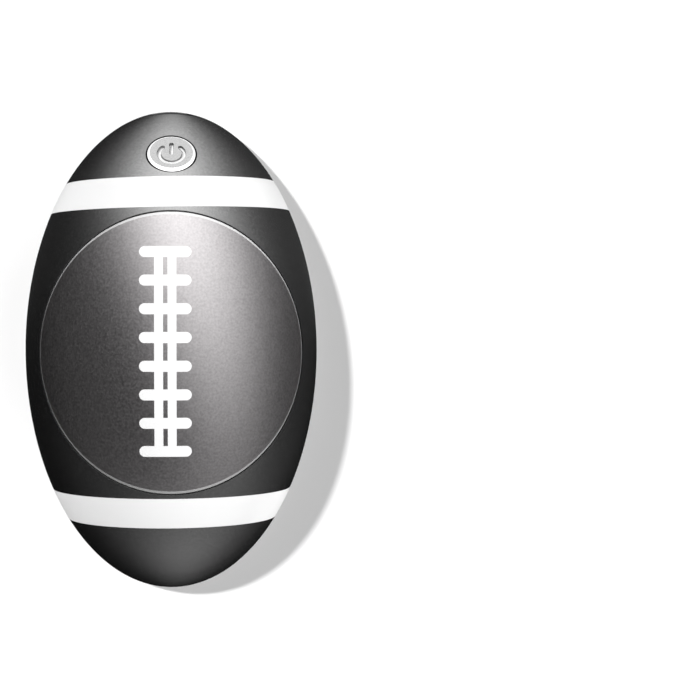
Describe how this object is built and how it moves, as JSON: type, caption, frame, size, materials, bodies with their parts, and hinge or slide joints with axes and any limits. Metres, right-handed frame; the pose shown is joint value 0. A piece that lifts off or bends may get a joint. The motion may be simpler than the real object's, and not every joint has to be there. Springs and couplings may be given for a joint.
{
  "type": "rechargeable hand warmer",
  "caption": "Half-ball pocket hand warmer with a curved metal heat panel, sprung power button, charging socket, and a flat magnetic back with indicator lights.",
  "frame": {"origin": "middle of the flat back, on the back's plane", "axes": "+Z out of the back through the dome, +Y along the length towards the button and the charging socket, +X to the right seen from the front"},
  "size_m": [0.0634, 0.1038, 0.0317],
  "materials": {
    "shell_plastic": "black lacquer with fine metal flake",
    "cover_plastic": "fine spark texture",
    "panel_metal": "satin anodised, gunmetal",
    "button_plastic": "black lacquer with fine metal flake",
    "magnet_nickel": "nickel plated",
    "magnet_dark": "dark plated",
    "screw_steel": "zinc plated",
    "socket_steel": "drawn",
    "circuit_board": "solder mask",
    "component_black": "moulded",
    "ferrite": "sintered",
    "lamp_white": "clear resin",
    "clear_plastic": "polished",
    "pouch_foil": "foil laminate",
    "tray_plastic": "moulded",
    "foam": "closed cell",
    "adhesive": "tape",
    "polyimide_film": "film",
    "wire_red": "insulated",
    "wire_white": "insulated"
  },
  "bodies": {
    "housing": {"front_shell": "shell_plastic", "back_cover": "cover_plastic", "heat_panel": "panel_metal", "panel_adhesive": "adhesive", "heater_film": "polyimide_film", "insulation_foam": "foam", "south_magnets": "magnet_nickel", "north_magnets": "magnet_dark", "switch_case": "component_black", "button_board": "circuit_board", "board_screws": "screw_steel", "tray_screws": "screw_steel", "switch_screws": "screw_steel", "main_board": "circuit_board", "control_chip": "component_black", "power_coil": "ferrite", "indicator_leds": "lamp_white", "light_guide": "clear_plastic", "usb_socket": "socket_steel", "usb_tongue": "component_black", "battery_cell": "pouch_foil", "guard_board": "circuit_board", "battery_pad": "foam", "battery_tray": "tray_plastic", "battery_leads": "wire_red", "heater_leads": "wire_white", "thermistor": "component_black", "sensor_leads": "wire_white", "switch_leads": "wire_white"},
    "button": {"power_button": "button_plastic", "switch_plunger": "component_black"}
  },
  "joints": [
    {"name": "button_press", "type": "slide", "parent": "housing", "child": "button", "axis": [0, -0.6307, -0.776], "range_m": [0, 0.0004], "stiffness_N_per_m": 800}
  ]
}
